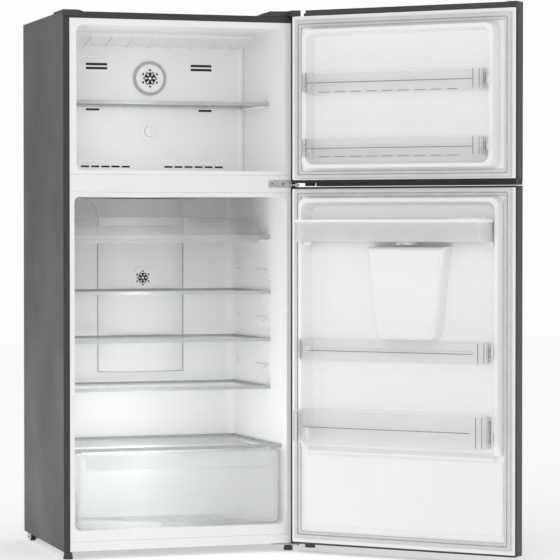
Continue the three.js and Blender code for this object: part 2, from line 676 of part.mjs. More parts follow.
// The crisper drawer: clear tub, rounded front panel and a finger grip that opens downwards.
const DRAWER = { front: 38, back: 342, half: 317, frontHalf: 327, bottom: FRIDGE.bottom + GAP, top: 322, wall: 2.5 };
const drawerTub = cut(
  box(-DRAWER.half, DRAWER.half, DRAWER.front, DRAWER.back, DRAWER.bottom, DRAWER.top - 4),
  box(
    -DRAWER.half + DRAWER.wall,
    DRAWER.half - DRAWER.wall,
    DRAWER.front + DRAWER.wall,
    DRAWER.back - DRAWER.wall,
    DRAWER.bottom + DRAWER.wall,
    DRAWER.top,
  ),
);
const drawerFront = prism(
  "y",
  rounded(-DRAWER.frontHalf, DRAWER.frontHalf, 92, DRAWER.top, 14),
  DRAWER.front - DRAWER.wall,
  DRAWER.front + DRAWER.wall,
);
const drawerBead = cut(
  prism("y", rounded(-322, 322, 97, 317, 11), DRAWER.front - 4, DRAWER.front - 2),
  prism("y", rounded(-317, 317, 102, 312, 8), DRAWER.front - 5, DRAWER.front - 1),
);
const drawerGrip = cut(
  box(-300, 300, DRAWER.front - 16, DRAWER.front - 2, 274, 321),
  box(-297, 297, DRAWER.front - 13.5, DRAWER.front - 2.5, 270, 317),
);
const drawerRibs = [...Array(11).keys()].map((i) =>
  box(-280 + i * 55, -274 + i * 55, 60, 325, DRAWER.bottom + 2, DRAWER.bottom + 4.5),
);
add("crisper_drawer", join(drawerTub, drawerFront, drawerBead, drawerGrip, ...drawerRibs), LOOK.clear);

// ---------------------------------------------------------------- door shells

// The painted sheet of a door: rounded at both front corners, open at the back, top and bottom.
function doorSkin(z0, z1) {
  const sheetPlan = (inset, backY) => {
    const half = DOOR.half - inset;
    const front = DOOR.outer + inset;
    const r = DOOR.corner - inset;
    const plan = new THREE.Shape();
    plan.moveTo(half, backY);
    plan.lineTo(-half, backY);
    plan.lineTo(-half, front + r);
    plan.absarc(-half + r, front + r, r, Math.PI, Math.PI * 1.5);
    plan.lineTo(half - r, front);
    plan.absarc(half - r, front + r, r, -Math.PI / 2, 0);
    return plan;
  };
  return cut(prism("z", sheetPlan(0, -28), z0, z1), prism("z", sheetPlan(DOOR.sheet, -27), z0 - 1, z1 + 1));
}

// A plan of the full door thickness, used by the caps.
function capPlan(x0, x1, backY) {
  const plan = new THREE.Shape();
  plan.moveTo(x1, backY);
  plan.lineTo(x0, backY);
  plan.lineTo(x0, DOOR.outer + 6);
  plan.lineTo(x0 + 6, DOOR.outer);
  plan.lineTo(x1 - 6, DOOR.outer);
  plan.lineTo(x1, DOOR.outer + 6);
  return plan;
}

// The insulated core: it fills the door and shows as a dark band between the sheet and the liner.
function doorCore(z0, z1, bandBottom, bandTop) {
  return join(
    box(-DOOR.half + 1.4, DOOR.half - 1.4, DOOR.outer + 9, -28 - GAP, z0, z1),
    box(-DOOR.half + 0.5, DOOR.half - 0.5, -28 + GAP, DOOR.inner - DOOR.liner - GAP, bandBottom, bandTop),
    box(-DOOR.half + 4, DOOR.half - 4, -30, -26, z0, z1),
    box(-DOOR.half + 9, DOOR.half - 9, DOOR.outer + 1.4, DOOR.outer + 10, z0, z1),
  );
}

const hingeHole = (z0, z1) => bar("z", HINGE.x, HINGE.y, HINGE.hole, z0, z1, 16);
const PLUG = 10; // depth that a cap reaches into the door's sheet

// A bellows gasket: a wide foot on the liner under a high outer ridge and a lower inner one.
function gasket(half, z0, z1) {
  const ring = (outer, inner, y0, y1) =>
    cut(
      prism("y", rounded(-half + outer, half - outer, z0 + outer, z1 - outer, 4), y0, y1),
      prism("y", rounded(-half + inner, half - inner, z0 + inner, z1 - inner, 4), y0 - 1, y1 + 1),
    );
  return join(ring(0, 24, DOOR.inner + GAP, -7), ring(2, 12, -7.5, -0.6), ring(15, 22, -7.5, -3));
}

// The raised ring of a door liner. Rectangles are [x0, x1, z0, z1] at the foot and at the crest.
function dykeRing(ring) {
  const foot = DOOR.inner;
  const crest = DOOR.inner + ring.height;
  const grown = (rect, g) => [rect[0] - g, rect[1] + g, rect[2] - g, rect[3] + g];
  const outer = taperedBlock(ring.outerFoot, ring.outerCrest, foot - 1, crest, ring.corner);
  const pit = taperedBlock(ring.innerFoot, ring.innerCrest, foot, crest + 0.01, ring.corner);
  const voidOuter = taperedBlock(grown(ring.outerFoot, -2), grown(ring.outerCrest, -2), foot - 3, crest - 2, ring.corner);
  const voidInner = taperedBlock(grown(ring.innerFoot, 2), grown(ring.innerCrest, 2), foot - 4, crest, ring.corner);
  return { outer, pit, hollow: cut(voidOuter, voidInner) };
}

function linerPlate(z0, z1) {
  return prism("y", rounded(-DOOR.half, DOOR.half, z0, z1, 3), DOOR.inner - DOOR.liner, DOOR.inner);
}

// Bosses on the inner walls of the ring that the bins hook over.
const BOSS = { y0: 10, y1: 26, tall: 20 };
function bosses(bins) {
  return bins.flatMap(({ back, wall, z }) =>
    [1, -1].map((side) => {
      const [a, b] = side > 0 ? [back + 1.4, wall] : [-wall, -back - 1.4];
      return box(a, b, BOSS.y0, BOSS.y1, z + 22, z + 22 + BOSS.tall);
    }),
  );
}

const BINS = {
  freezer_bin_upper: { back: 297, front: 303, wall: 307, z: 1446, tall: 68, deep: 92 },
  freezer_bin_lower: { back: 297, front: 303, wall: 307, z: 1246, tall: 62, deep: 92 },
  fridge_bin_upper: { back: 305, front: 320, wall: 322, z: 616, tall: 66, deep: 92, pullsOff: true },
  fridge_bin_lower: { back: 305, front: 322, wall: 322, z: 359, tall: 102, deep: 112 },
};
const BIN_BACK = -2;

// A door bin: clear tub with rounded front corners, a rail across its front and slots for the bosses.
// Most bins lift off upwards; the one under the dispenser bulge pulls straight off instead.
function doorBin({ back, front, z, tall, deep, pullsOff = false }) {
  const frontY = BIN_BACK + deep;
  const plan = (inset) => {
    const r = 24 - inset;
    const shape = new THREE.Shape();
    shape.moveTo(-back + inset, BIN_BACK + inset);
    shape.lineTo(back - inset, BIN_BACK + inset);
    shape.lineTo(front - inset, BIN_BACK + 40);
    shape.absarc(front - inset - r, frontY - inset - r, r, 0, Math.PI / 2);
    shape.absarc(-front + inset + r, frontY - inset - r, r, Math.PI / 2, Math.PI);
    shape.lineTo(-front + inset, BIN_BACK + 40);
    return shape;
  };
  const tub = cut(prism("z", plan(0), z, z + tall), prism("z", plan(2.5), z + 2.5, z + tall + 1));
  const railZ = z + tall * 0.55;
  const rail = box(-282, 282, frontY - 2, frontY + 3, railZ - 3.5, railZ + 3.5);
  const endRibs = [-front + 1, front - 6].flatMap((x) =>
    [46, 60].map((y) => box(x, x + 5, BIN_BACK + y, BIN_BACK + y + 4, z + 1, z + tall)),
  );
  const slots = [1, -1].map((side) => {
    const [a, b] = side > 0 ? [back + 1, front + 5] : [-front - 5, -back - 1];
    const [y0, z0] = pullsOff ? [BIN_BACK - 1, z + 22 - GAP] : [BOSS.y0 - GAP, z - 1];
    return box(a, b, y0, BOSS.y1 + GAP, z0, z + 22 + BOSS.tall + GAP);
  });
  return cut(join(tub, rail, ...endRibs), ...slots);
}

// ---------------------------------------------------------------- freezer door

const freezerSkinTop = FREEZER_DOOR.top - 6;
const freezerSkinBottom = FREEZER_DOOR.bottom + 6;
add("freezer_door_skin", doorSkin(freezerSkinBottom + GAP, freezerSkinTop - GAP), LOOK.paint, true);

const topCapLow = prism("z", capPlan(-DOOR.half, DOOR.half, DOOR.inner - DOOR.liner - GAP), freezerSkinTop, FREEZER_DOOR.top);
const topCapHigh = prism("z", capPlan(-DOOR.half, 335, -14), FREEZER_DOOR.top - 1, FREEZER_DOOR.capTop);
const topCapPlug = box(-368, 376.5, -66, -16, freezerSkinTop - PLUG, freezerSkinTop + 1);
const topCapEnd = box(-DOOR.half, -346, DOOR.outer + 6, -20, FREEZER_DOOR.capTop - 1, FREEZER_DOOR.capTop + 2);
add(
  "freezer_door_top_cap",
  cut(join(topCapLow, topCapHigh, topCapPlug, topCapEnd), hingeHole(1600, 1800)),
  LOOK.dark,
  true,
);

// The bottom cap hangs a black grip strip into the gap between the doors, and a closing cam by the hinge.
const gripStrip = cut(
  box(-DOOR.half + 2, 300, DOOR.outer + 5, -20, 1160.5, FREEZER_DOOR.bottom + 1),
  box(-340, 260, DOOR.outer + 4, -46, 1163, FREEZER_DOOR.bottom - 1),
);
const closingCam = (z0, z1) => prism("z", rounded(312, 344, -44, -26, 6), z0, z1);
add(
  "freezer_door_bottom_cap",
  cut(
    join(
      prism("z", capPlan(-DOOR.half, DOOR.half, DOOR.inner - DOOR.liner - GAP), FREEZER_DOOR.bottom, freezerSkinBottom),
      box(-376.5, 376.5, -66, -16, freezerSkinBottom - 1, freezerSkinBottom + PLUG),
      gripStrip,
      closingCam(1161, FREEZER_DOOR.bottom + 1),
    ),
    hingeHole(1100, 1200),
  ),
  LOOK.black,
  true,
);

const freezerCore = cut(
  doorCore(freezerSkinBottom + PLUG + GAP, freezerSkinTop - PLUG - GAP, freezerSkinBottom + GAP, freezerSkinTop - GAP),
  box(-377, 377, -66.5, -15.5, freezerSkinTop - PLUG - GAP, 1800),
  box(-377, 377, -66.5, -15.5, 1100, freezerSkinBottom + PLUG + GAP),
);
add("freezer_door_core", freezerCore, LOOK.black, true);

const freezerRing = dykeRing({
  height: 45,
  corner: 24,
  outerFoot: [-331, 331, 1209, 1657],
  outerCrest: [-323, 323, 1216, 1650],
  innerFoot: [-300, 300, 1234, 1632],
  innerCrest: [-309, 309, 1227, 1639],
});
const freezerBins = [BINS.freezer_bin_upper, BINS.freezer_bin_lower];
const sideGrooves = [1, -1].map((side) =>
  prism("y", rounded(...(side > 0 ? [314, 318] : [-318, -314]), 1260, 1600, 2), DOOR.inner + 44, 60),
);
add(
  "freezer_door_liner",
  cut(
    join(
      cut(join(linerPlate(FREEZER_DOOR.faceBottom, FREEZER_DOOR.top), freezerRing.outer), freezerRing.pit),
      ...bosses(freezerBins),
    ),
    freezerRing.hollow,
    ...sideGrooves,
  ),
  LOOK.white,
  true,
);
add("freezer_door_gasket", gasket(368, 1183, 1684), LOOK.gasket, true);

// ---------------------------------------------------------------- fridge door

const DISPENSER = { x: -40, half: 98, bottom: 713, top: 960, back: 24 };
const recessHole = box(
  DISPENSER.x - DISPENSER.half - GAP,
  DISPENSER.x + DISPENSER.half + GAP,
  -100,
  60,
  DISPENSER.bottom - GAP,
  DISPENSER.top + GAP,
);
const fridgeSkinTop = FRIDGE_DOOR.top - 6;
const fridgeSkinBottom = FRIDGE_DOOR.bottom + 6;
add("fridge_door_skin", cut(doorSkin(fridgeSkinBottom + GAP, fridgeSkinTop - GAP), recessHole), LOOK.paint, true);

const fridgeCapPlan = capPlan(-DOOR.half, DOOR.half, DOOR.inner - DOOR.liner - GAP);
const gripScoop = box(-340, 260, DOOR.outer + 22, -40, FRIDGE_DOOR.top - 5, FRIDGE_DOOR.top + 1);
add(
  "fridge_door_top_cap",
  cut(
    join(
      prism("z", fridgeCapPlan, fridgeSkinTop, FRIDGE_DOOR.top),
      box(-376.5, 376.5, -66, -16, fridgeSkinTop - PLUG, fridgeSkinTop + 1),
    ),
    gripScoop,
    hingeHole(1100, 1200),
  ),
  LOOK.black,
  true,
);
add(
  "fridge_door_bottom_cap",
  cut(
    join(
      prism("z", fridgeCapPlan, FRIDGE_DOOR.bottom, fridgeSkinBottom),
      box(-376.5, 376.5, -66, -16, fridgeSkinBottom - 1, fridgeSkinBottom + PLUG),
      closingCam(15, FRIDGE_DOOR.bottom + 1),
    ),
    hingeHole(0, 60),
  ),
  LOOK.dark,
  true,
);
const fridgeCore = cut(
  doorCore(fridgeSkinBottom + PLUG + GAP, fridgeSkinTop - PLUG - GAP, fridgeSkinBottom + GAP, fridgeSkinTop - GAP),
  box(-377, 377, -66.5, -15.5, fridgeSkinTop - PLUG - GAP, 1200),
  box(-377, 377, -66.5, -15.5, 0, fridgeSkinBottom + PLUG + GAP),
  recessHole,
);
add("fridge_door_core", fridgeCore, LOOK.black, true);

const fridgeRing = dykeRing({
  height: 40,
  corner: 24,
  outerFoot: [-342, 342, 300, 1125],
  outerCrest: [-338, 338, 360, 1121],
  innerFoot: [-309, 309, 250, 1099],
  innerCrest: [-327, 327, 300, 1109],
});
const belowRing = box(-345, 345, DOOR.inner, 60, 200, 336);

// The bulge that houses the dispenser: it narrows downwards, with round lower corners and front edges.
const BULGE = { top: 971, bottom: 684, topX: [-171, 91], bottomX: [-141, 61], height: 65, corner: 26, edge: 18 };
function bulgeOutline(inset) {
  const radius = BULGE.corner - inset / 2;
  const low = BULGE.bottom + inset;
  const corner = (x, side) =>
    [0, 1, 2, 3].map((i) => {
      const turn = (i * Math.PI) / 6;
      return [x + side * radius * (Math.cos(turn) - 1), low + radius * (1 - Math.sin(turn))];
    });
  return [
    [BULGE.topX[0] + inset, BULGE.top - inset],
    ...corner(BULGE.bottomX[0] + inset, -1),
    ...corner(BULGE.bottomX[1] - inset, 1).reverse(),
    [BULGE.topX[1] - inset, BULGE.top - inset],
  ];
}
function bulge(inset) {
  const crest = DOOR.inner + BULGE.height - inset;
  const levels = [[0, DOOR.inner - 1 - 2 * inset]];
  for (let i = 0; i <= 3; i += 1) {
    const turn = (i * Math.PI) / 6;
    levels.push([BULGE.edge * (1 - Math.cos(turn)), crest - BULGE.edge * (1 - Math.sin(turn))]);
  }
  const slices = levels.slice(1).map(([shrink, y], i) =>
    drafted(bulgeOutline(inset + levels[i][0]), bulgeOutline(inset + shrink), levels[i][1], y),
  );
  return join(...slices);
}
const lowerPad = cut(
  prism("y", rounded(-341, 337, 86, 312, 8), DOOR.inner - 1, DOOR.inner + 3),
  prism("y", rounded(-337, 333, 90, 308, 6), DOOR.inner + 1.4, DOOR.inner + 4),
);
const ledgeBand = prism("x", polygon([[-10.5, 316], [4, 322], [4, 327], [-10.5, 340]]), -318, 318);
const fridgeBins = [BINS.fridge_bin_upper, BINS.fridge_bin_lower];
const TANK = { z: 986, lidZ: 1046, back: 305, front: 325, frontY: 98 };
const tankRests = [1, -1].map((side) => {
  const [a, b] = side > 0 ? [296, 322] : [-322, -296];
  return box(a, b, BOSS.y0, BOSS.y1, TANK.z - 12, TANK.z - GAP);
});
add(
  "fridge_door_liner",
  cut(
    join(
      cut(
        join(linerPlate(FRIDGE_DOOR.faceBottom, FRIDGE_DOOR.faceTop), cut(fridgeRing.outer, belowRing)),
        fridgeRing.pit,
      ),
      bulge(0),
      lowerPad,
      ledgeBand,
      ...bosses(fridgeBins),
      ...tankRests,
    ),
    cut(fridgeRing.hollow, box(-345, 345, DOOR.inner - 1, 60, 200, 338)),
    bulge(2),
  ),
  LOOK.white,
  true,
);
add("fridge_door_gasket", gasket(369.5, 46, 1151), LOOK.gasket, true);

// The dispenser recess: a tub let into the door's front, with a rim, a nozzle and two lever lugs.
const recess = {
  x0: DISPENSER.x - DISPENSER.half,
  x1: DISPENSER.x + DISPENSER.half,
  z0: DISPENSER.bottom,
  z1: DISPENSER.top,
};
const LEVER = { z: 906, y: 4, bar: 3, lugs: [-66, -18] };
const recessTub = cut(
  join(
    box(recess.x0, recess.x1, DOOR.outer - 1, DISPENSER.back, recess.z0, recess.z1),
    prism("y", rounded(recess.x0 - 8, recess.x1 + 8, recess.z0 - 8, recess.z1 + 8, 10), DOOR.outer - 3, DOOR.outer - GAP),
  ),
  box(recess.x0 + 2, recess.x1 - 2, DOOR.outer - 5, DISPENSER.back - 2, recess.z0 + 2, recess.z1 - 2),
);
const leverLugs = LEVER.lugs.map((x) => box(x, x + 4, LEVER.y - 7, DISPENSER.back - 1, LEVER.z - 7, LEVER.z + 7));
const nozzle = join(
  bar("z", DISPENSER.x, -26, 15, recess.z1 - 22, recess.z1 - 1, 20),
  bar("z", DISPENSER.x, -26, 8, recess.z1 - 36, recess.z1 - 20, 16),
);
add(
  "dispenser_recess",
  cut(join(recessTub, nozzle, ...leverLugs), bar("x", LEVER.y, LEVER.z, LEVER.bar + 0.1, -90, 10, 24)),
  LOOK.black,
  true,
);
const leverBar = bar("x", LEVER.y, LEVER.z, LEVER.bar, -68, -12, 24);
const paddle = polygon([[LEVER.y - 2.5, 908], [LEVER.y + 2.5, 908], [LEVER.y - 4, 830], [LEVER.y - 14, 800], [LEVER.y - 18, 801], [LEVER.y - 9, 830]]);
add("dispenser_lever", join(leverBar, prism("x", paddle, -61, -19)), LOOK.dark, true);

const trayGrid = [...Array(9).keys()].map((i) =>
  box(DISPENSER.x - 80 + i * 18, DISPENSER.x - 72 + i * 18, -66, 12, recess.z0 + 6, recess.z0 + 16),
);
const dripTray = cut(
  box(recess.x0 + 4, recess.x1 - 4, -74, 19, recess.z0 + 2 + GAP, recess.z0 + 14),
  ...trayGrid,
);
add("dispenser_drip_tray", dripTray, LOOK.dark, true);

// The water tank behind the dispenser: tub with rounded front corners, outlet, lid and filling flap.
function tankPlan(inset) {
  const { back, front, frontY } = TANK;
  const r = 28 - inset;
  const shape = new THREE.Shape();
  shape.moveTo(-back + inset, BIN_BACK + inset);
  shape.lineTo(back - inset, BIN_BACK + inset);
  shape.lineTo(front - inset, 38);
  shape.absarc(front - inset - r, frontY - inset - r, r, 0, Math.PI / 2);
  shape.absarc(-front + inset + r, frontY - inset - r, r, Math.PI / 2, Math.PI);
  shape.lineTo(-front + inset, 38);
  return shape;
}
const outletX = DISPENSER.x - 2;
const tank = cut(
  join(prism("z", tankPlan(0), TANK.z, TANK.lidZ), bar("z", outletX, 40, 34, TANK.z - 9, TANK.z + 1, 24)),
  prism("z", tankPlan(3), TANK.z + 3, TANK.lidZ + 1),
  bar("z", outletX, 40, 9, TANK.z - 12, TANK.z + 5, 16),
);
add("water_tank", tank, LOOK.clear, true);

const FLAP = { x0: -318, x1: -206, y0: 42, y1: 84 };
const tankLid = cut(
  join(
    prism("z", tankPlan(-2), TANK.lidZ + GAP, TANK.lidZ + 9),
    prism("z", tankPlan(4), TANK.lidZ - 6, TANK.lidZ + 2),
  ),
  prism("z", tankPlan(7), TANK.lidZ - 8, TANK.lidZ + 6),
  box(FLAP.x0 + 14, FLAP.x1 - 8, FLAP.y0 + 5, FLAP.y1 - 8, TANK.lidZ, TANK.lidZ + 12),
);
add("tank_lid", tankLid, LOOK.white, true);
const flap = join(
  prism("z", rounded(FLAP.x0, FLAP.x1, FLAP.y0, FLAP.y1, 5), TANK.lidZ + 9 + GAP, TANK.lidZ + 13),
  bar("x", FLAP.y0, TANK.lidZ + 12.5, 3, FLAP.x0 + 8, FLAP.x1 - 8, 16),
);
add("tank_flap", flap, LOOK.white, true);

for (const [name, bin] of Object.entries(BINS)) add(name, doorBin(bin), LOOK.clear, true);

// ---------------------------------------------------------------- the whole refrigerator

const refrigerator = new THREE.Group();
refrigerator.add(...parts);
const overall = new THREE.Box3().setFromObject(refrigerator);
const middle = overall.getCenter(new THREE.Vector3());
for (const mesh of parts) mesh.geometry.translate(-middle.x, -middle.y, -overall.min.z);

export default refrigerator;
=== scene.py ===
# Looks for the top freezer refrigerator: procedural materials, softened edges, added detail,
# and a plain studio. Metres, row frame. The cabinet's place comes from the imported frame, and the
# added pieces, the camera and the cabinet lamps are placed from it.
import json
import math

import bmesh
import bpy
from mathutils import Matrix, Vector


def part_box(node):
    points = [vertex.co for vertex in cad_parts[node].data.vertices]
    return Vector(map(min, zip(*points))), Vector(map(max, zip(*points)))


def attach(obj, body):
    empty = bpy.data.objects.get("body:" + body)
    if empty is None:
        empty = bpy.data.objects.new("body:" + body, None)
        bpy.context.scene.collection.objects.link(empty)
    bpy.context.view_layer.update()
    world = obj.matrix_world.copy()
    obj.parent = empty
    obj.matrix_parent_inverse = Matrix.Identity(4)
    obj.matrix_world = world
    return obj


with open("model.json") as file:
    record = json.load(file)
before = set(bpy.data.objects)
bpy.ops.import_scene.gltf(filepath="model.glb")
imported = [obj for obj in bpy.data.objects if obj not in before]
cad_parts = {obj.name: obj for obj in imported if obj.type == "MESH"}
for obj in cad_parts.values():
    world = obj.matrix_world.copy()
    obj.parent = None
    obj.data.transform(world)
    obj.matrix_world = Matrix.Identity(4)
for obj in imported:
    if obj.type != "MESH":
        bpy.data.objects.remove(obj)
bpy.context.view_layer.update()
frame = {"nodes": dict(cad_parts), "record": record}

MM = 0.001
NODES = frame["nodes"]
SHELL_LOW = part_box("cabinet_shell")[0]

# Pieces are drawn in millimetres in the CAD source's own frame: x = 0 at the cabinet's middle, y = 0 at
# its front, z = 0 at the floor. Door pieces are drawn with the door shut and then swung open.
SHELL_CORNER = Vector((-380, 0, 25))
HINGE_LINE = Vector((370.6, -22.7, 0))
DOOR_ANGLE = math.radians(134.8)
CABINET_FRAME = Matrix.Translation(SHELL_LOW) @ Matrix.Scale(MM, 4) @ Matrix.Translation(-SHELL_CORNER)
DOOR_FRAME = (
    CABINET_FRAME
    @ Matrix.Translation(HINGE_LINE)
    @ Matrix.Rotation(DOOR_ANGLE, 4, "Z")
    @ Matrix.Translation(-HINGE_LINE)
)


# ---------------------------------------------------------------- camera

CAMERA_FROM_SHELL = Vector((-1.74906, -7.58570, 1.01358))
CAMERA_YAW = math.radians(17.912)
CAMERA_PITCH = math.radians(-1.258)
CAMERA_LENS = 161.5
CAMERA_SENSOR = 36


def add_camera():
    data = bpy.data.cameras.new("camera")
    data.lens = CAMERA_LENS
    data.sensor_width = CAMERA_SENSOR
    camera = bpy.data.objects.new("camera", data)
    bpy.context.scene.collection.objects.link(camera)
    camera.location = SHELL_LOW + CAMERA_FROM_SHELL
    level = math.cos(CAMERA_PITCH)
    aim = Vector((math.sin(CAMERA_YAW) * level, math.cos(CAMERA_YAW) * level, math.sin(CAMERA_PITCH)))
    camera.rotation_mode = "QUATERNION"
    camera.rotation_quaternion = aim.to_track_quat("-Z", "Y")
    bpy.context.scene.camera = camera


# ---------------------------------------------------------------- studio

BACKDROP_STRENGTH = 0.98
FILL_STRENGTH = 0.67
KEY_LIGHT = {"place": Vector((-2.9, -5.6, 2.1)), "aim": Vector((-0.1, 0, 0.8)), "size": 2.8, "power": 55}
LAMP_SOFTNESS = 0.12
LAMP_BEHIND_FRONT = 0.11
LAMP_LEFT_OF_MIDDLE = 0.12
# Each lamp's room, its height as a share of the room's, and its power.
LAMPS = {
    "freezer_lamp": ("freezer_liner", 0.35, 0.65),
    "fridge_lamp_upper": ("fridge_liner", 0.68, 0.75),
    "fridge_lamp_lower": ("fridge_liner", 0.28, 2.6),
    "fridge_lamp_chill": ("fridge_liner", 0.94, 0.5),
    "fridge_lamp_crisper": ("fridge_liner", 0.12, 0.8),
}
FLOOR_HALF = 14
FLOOR_GLOW = 0.33


def add_light(name, data, place):
    light = bpy.data.objects.new(name, data)
    bpy.context.scene.collection.objects.link(light)
    light.location = place
    return light


def add_key_light(place, aim, size, power):
    """A large soft panel, in front of the object and to its left."""
    data = bpy.data.lights.new("key", "AREA")
    data.shape = "RECTANGLE"
    data.size = data.size_y = size
    data.energy = power
    light = add_light("key", data, place)
    light.rotation_mode = "QUATERNION"
    light.rotation_quaternion = (aim - place).to_track_quat("-Z", "Y")


def add_cabinet_lamp(name, room, height, power):
    """A soft lamp inside an open compartment, as the real cabinet's own lighting."""
    low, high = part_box(room)
    data = bpy.data.lights.new(name, "POINT")
    data.energy = power
    data.shadow_soft_size = LAMP_SOFTNESS
    x = (low.x + high.x) / 2 - LAMP_LEFT_OF_MIDDLE
    lamp = add_light(name, data, (x, low.y + LAMP_BEHIND_FRONT, low.z + height * (high.z - low.z)))
    lamp.visible_camera = False
    lamp.visible_glossy = False


def add_backdrop():
    """A world that is white to the camera and gives a weaker fill light to the object."""
    world = bpy.data.worlds.new("studio")
    world.use_nodes = True
    background = world.node_tree.nodes["Background"]
    background.inputs["Color"].default_value = (1, 1, 1, 1)
    seen = world.node_tree.nodes.new("ShaderNodeLightPath")
    strength = world.node_tree.nodes.new("ShaderNodeMapRange")
    strength.inputs["To Min"].default_value = FILL_STRENGTH
    strength.inputs["To Max"].default_value = BACKDROP_STRENGTH
    world.node_tree.links.new(seen.outputs["Is Camera Ray"], strength.inputs["Value"])
    world.node_tree.links.new(strength.outputs["Result"], background.inputs["Strength"])
    bpy.context.scene.world = world


def add_floor():
    """A pale floor that glows a little, so that it meets the white backdrop without a line."""
    mesh = bpy.data.meshes.new("floor")
    corners = [(FLOOR_HALF * x, FLOOR_HALF * y, 0) for x, y in ((-1, -1), (1, -1), (1, 1), (-1, 1))]
    mesh.from_pydata(corners, [], [(0, 1, 2, 3)])
    floor = bpy.data.objects.new("floor", mesh)
    bpy.context.scene.collection.objects.link(floor)
    glow = {"Roughness": 0.9, "Emission Color": (1, 1, 1, 1), "Emission Strength": FLOOR_GLOW}
    look = Look("floor", glow)
    look.colour(look.noise(3, 4), (0.90, 0.90, 0.90), (0.93, 0.93, 0.93))
    mesh.materials.append(look.material)


def add_studio():
    bpy.context.scene.view_settings.view_transform = "Standard"
    add_backdrop()
    add_key_light(**KEY_LIGHT)
    for name, (room, height, power) in LAMPS.items():
        add_cabinet_lamp(name, room, height, power)
    add_floor()


# ---------------------------------------------------------------- materials

# Most texture values lie between these.
TEXTURE_LOW = 0.3
TEXTURE_HIGH = 0.7


class Look:
    """One procedural material: object-space textures that feed one Principled shader."""

    def __init__(self, name, sockets):
        self.material = bpy.data.materials.new(name)
        self.material.use_nodes = True
        self.tree = self.material.node_tree
        self.shader = self.tree.nodes["Principled BSDF"]
        self.coords = self.tree.nodes.new("ShaderNodeTexCoord").outputs["Object"]
        for socket, value in sockets.items():
            self.shader.inputs[socket].default_value = value

    def link(self, output, target):
        self.tree.links.new(output, target)

    def stretched(self, stretch):
        mapping = self.tree.nodes.new("ShaderNodeMapping")
        mapping.inputs["Scale"].default_value = stretch
        self.link(self.coords, mapping.inputs["Vector"])
        return mapping.outputs["Vector"]

    def noise(self, scale, detail=3, stretch=(1, 1, 1)):
        node = self.tree.nodes.new("ShaderNodeTexNoise")
        node.inputs["Scale"].default_value = scale
        node.inputs["Detail"].default_value = detail
        self.link(self.stretched(stretch), node.inputs["Vector"])
        return node.outputs["Fac"]

    def cells(self, scale, feature="F1", output="Distance"):
        node = self.tree.nodes.new("ShaderNodeTexVoronoi")
        node.feature = feature
        node.inputs["Scale"].default_value = scale
        self.link(self.coords, node.inputs["Vector"])
        return node.outputs[output]

    def waves(self, scale, axis):
        node = self.tree.nodes.new("ShaderNodeTexWave")
        node.bands_direction = axis
        node.inputs["Scale"].default_value = scale
        self.link(self.coords, node.inputs["Vector"])
        return node.outputs["Fac"]

    def ramp(self, value, low, high, start=TEXTURE_LOW, end=TEXTURE_HIGH):
        node = self.tree.nodes.new("ShaderNodeValToRGB")
        node.color_ramp.elements[0].position = start
        node.color_ramp.elements[1].position = end
        node.color_ramp.elements[0].color = (*low, 1)
        node.color_ramp.elements[1].color = (*high, 1)
        self.link(value, node.inputs["Fac"])
        return node.outputs["Color"]

    def spread(self, value, low, high, start=TEXTURE_LOW, end=TEXTURE_HIGH):
        node = self.tree.nodes.new("ShaderNodeMapRange")
        node.inputs["From Min"].default_value = start
        node.inputs["From Max"].default_value = end
        node.inputs["To Min"].default_value = low
        node.inputs["To Max"].default_value = high
        self.link(value, node.inputs["Value"])
        return node.outputs["Result"]

    def combined(self, operation, first, second):
        node = self.tree.nodes.new("ShaderNodeMath")
        node.operation = operation
        self.link(first, node.inputs[0])
        self.link(second, node.inputs[1])
        return node.outputs["Value"]

    def colour(self, value, low, high, start=TEXTURE_LOW, end=TEXTURE_HIGH):
        self.link(self.ramp(value, low, high, start, end), self.shader.inputs["Base Color"])

    def rough(self, value, low, high, start=TEXTURE_LOW, end=TEXTURE_HIGH):
        self.link(self.spread(value, low, high, start, end), self.shader.inputs["Roughness"])

    def bump(self, height, depth):
        node = self.tree.nodes.new("ShaderNodeBump")
        node.inputs["Distance"].default_value = depth
        node.inputs["Strength"].default_value = 1
        self.link(height, node.inputs["Height"])
        if self.shader.inputs["Normal"].is_linked:
            self.link(self.shader.inputs["Normal"].links[0].from_socket, node.inputs["Normal"])
        self.link(node.outputs["Normal"], self.shader.inputs["Normal"])


def painted_steel():
    look = Look("painted_steel", {"Metallic": 0.25, "Specular IOR Level": 0.3})
    streaks = look.noise(14, 5, (60, 60, 0.6))
    blotches = look.noise(3.5, 3)
    grain = look.combined("ADD", look.combined("MULTIPLY", streaks, blotches), streaks)
    look.colour(grain, (0.040, 0.039, 0.0375), (0.066, 0.0645, 0.062), 0.35, 1.0)
    look.rough(blotches, 0.34, 0.46)
    look.bump(streaks, 0.00003)
    return look.material


def zinc_steel():
    look = Look("zinc_steel", {"Metallic": 0.85})
    spangle = look.cells(85, feature="F1", output="Color")
    look.colour(spangle, (0.48, 0.49, 0.50), (0.62, 0.63, 0.64), 0.1, 0.9)
    look.rough(look.noise(40, 3), 0.32, 0.5)
    look.bump(look.noise(300, 3), 0.00008)
    return look.material


def white_plastic():
    look = Look("white_plastic", {"Specular IOR Level": 0.35})
    look.colour(look.noise(5, 4), (0.875, 0.88, 0.88), (0.905, 0.905, 0.90))
    look.rough(look.noise(18, 3), 0.42, 0.52)
    look.bump(look.noise(60, 2), 0.00001)
    return look.material


def trim_plastic():
    look = Look("trim_plastic", {"Coat Weight": 0.1, "Coat Roughness": 0.15, "Alpha": 0.8})
    look.colour(look.noise(12, 4), (0.52, 0.53, 0.54), (0.58, 0.59, 0.60))
    look.rough(look.noise(30, 3), 0.22, 0.34)
    look.bump(look.noise(700, 2), 0.00005)
    return look.material


